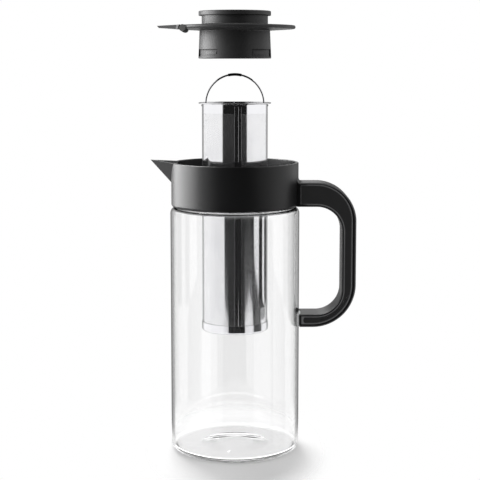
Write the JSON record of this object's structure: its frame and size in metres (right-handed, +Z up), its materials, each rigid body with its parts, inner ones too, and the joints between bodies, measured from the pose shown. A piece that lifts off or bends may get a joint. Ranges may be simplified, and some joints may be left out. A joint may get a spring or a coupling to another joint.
{
  "type": "cold brew coffee maker",
  "caption": "Glass jug with a moulded collar, spout and D handle, a lift-out steel filter basket on a bail, and a lid with a hinged spout flap.",
  "frame": {"origin": "centre of the carafe's base, on the surface it stands on", "axes": "+Z up along the carafe's axis; +X towards the handle, the spout points to -X; +Y completes the frame, and the side with the basket's seam faces -Y"},
  "size_m": [0.1521, 0.096, 0.3263],
  "materials": {
    "clear_glass": "clear borosilicate glass, fire-polished",
    "black_plastic": "black moulded plastic, satin with a fine grain",
    "inlay_plastic": "black moulded plastic, semi-gloss",
    "silicone": "translucent silicone",
    "mesh_steel": "fine etched stainless mesh",
    "polished_steel": "polished stainless steel",
    "dark_steel": "dark oxidised steel sleeve"
  },
  "bodies": {
    "jug": {"glass_carafe": "clear_glass", "neck_gasket": "silicone", "lip_gasket": "silicone", "neck_clamp_ring": "polished_steel", "collar_shell": "black_plastic", "filter_seat_ring": "black_plastic", "handle_body": "black_plastic", "handle_inlay_left": "inlay_plastic", "handle_inlay_right": "inlay_plastic", "handle_foot_pad": "silicone", "handle_screws": "polished_steel"},
    "basket": {"basket_rim": "polished_steel", "filter_tube": "mesh_steel", "filter_seam_strip": "polished_steel", "basket_bottom_cup": "polished_steel"},
    "bail": {"bail_wire": "polished_steel", "bail_grip": "dark_steel"},
    "lid": {"lid_body": "black_plastic", "lid_cap": "black_plastic", "flap_hinge_pin": "polished_steel"},
    "flap": {"spout_flap": "black_plastic"}
  },
  "joints": [
    {"name": "basket_lift", "type": "slide", "parent": "jug", "child": "basket", "axis": [0, 0, 1], "range_m": [-0.0683, 0.13]},
    {"name": "lid_lift", "type": "slide", "parent": "basket", "child": "lid", "axis": [0, 0, 1], "range_m": [-0.0318, 0.06]},
    {"name": "bail_swing", "type": "hinge", "parent": "basket", "child": "bail", "pos_m": [0, 0, 0.2576], "axis": [1, 0, 0], "range_deg": [-82, 82]},
    {"name": "flap_hinge", "type": "hinge", "parent": "lid", "child": "flap", "pos_m": [-0.0374, 0, 0.31365], "axis": [0, 1, 0], "range_deg": [0, 70]}
  ]
}
